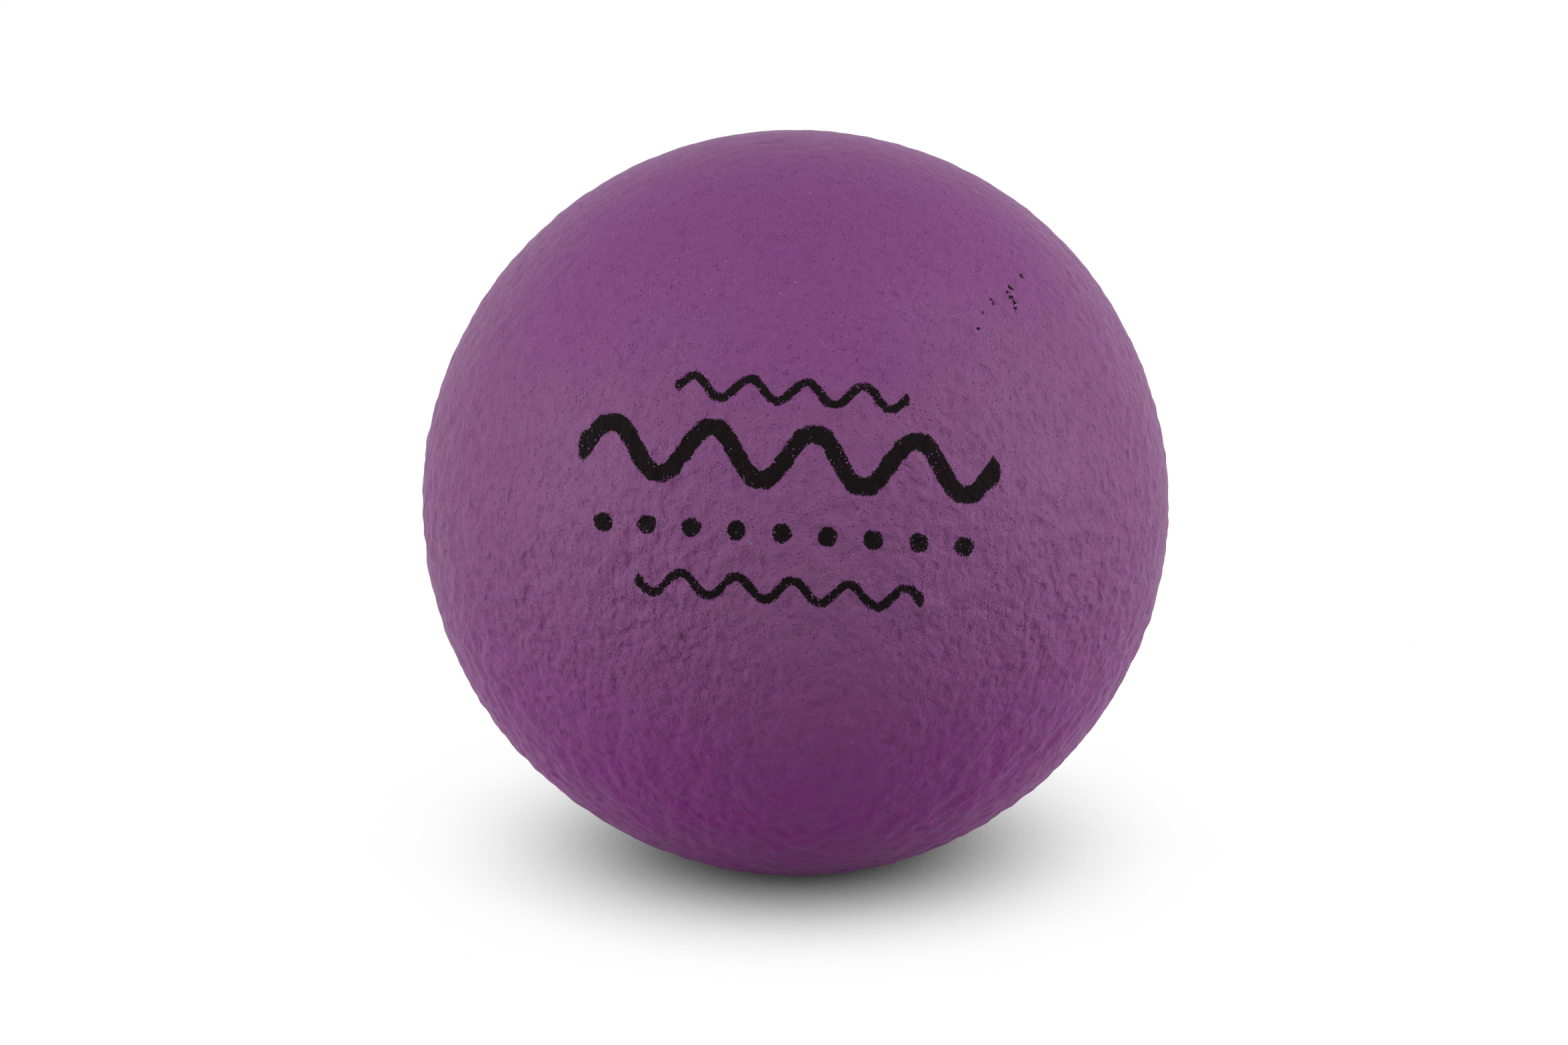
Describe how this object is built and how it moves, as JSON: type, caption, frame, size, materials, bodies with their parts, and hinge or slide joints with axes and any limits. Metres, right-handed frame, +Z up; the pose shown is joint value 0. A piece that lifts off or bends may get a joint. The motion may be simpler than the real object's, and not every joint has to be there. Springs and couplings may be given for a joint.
{
  "type": "foam ball",
  "caption": "Hand-sized soft foam ball with a tough, finely grained purple sprayed skin, for throwing, catching and games, at rest on a small pressed patch.",
  "frame": {"origin": "on the floor, at the middle of the patch that the ball rests on", "axes": "+Z up through the ball's centre, -Y towards the viewer and the printed side, +X to the viewer's right"},
  "size_m": [0.09, 0.09, 0.0896],
  "materials": {
    "foam": "matte",
    "skin": "matte"
  },
  "bodies": {
    "root": {"foam_core": "foam", "skin": "skin"}
  },
  "joints": []
}
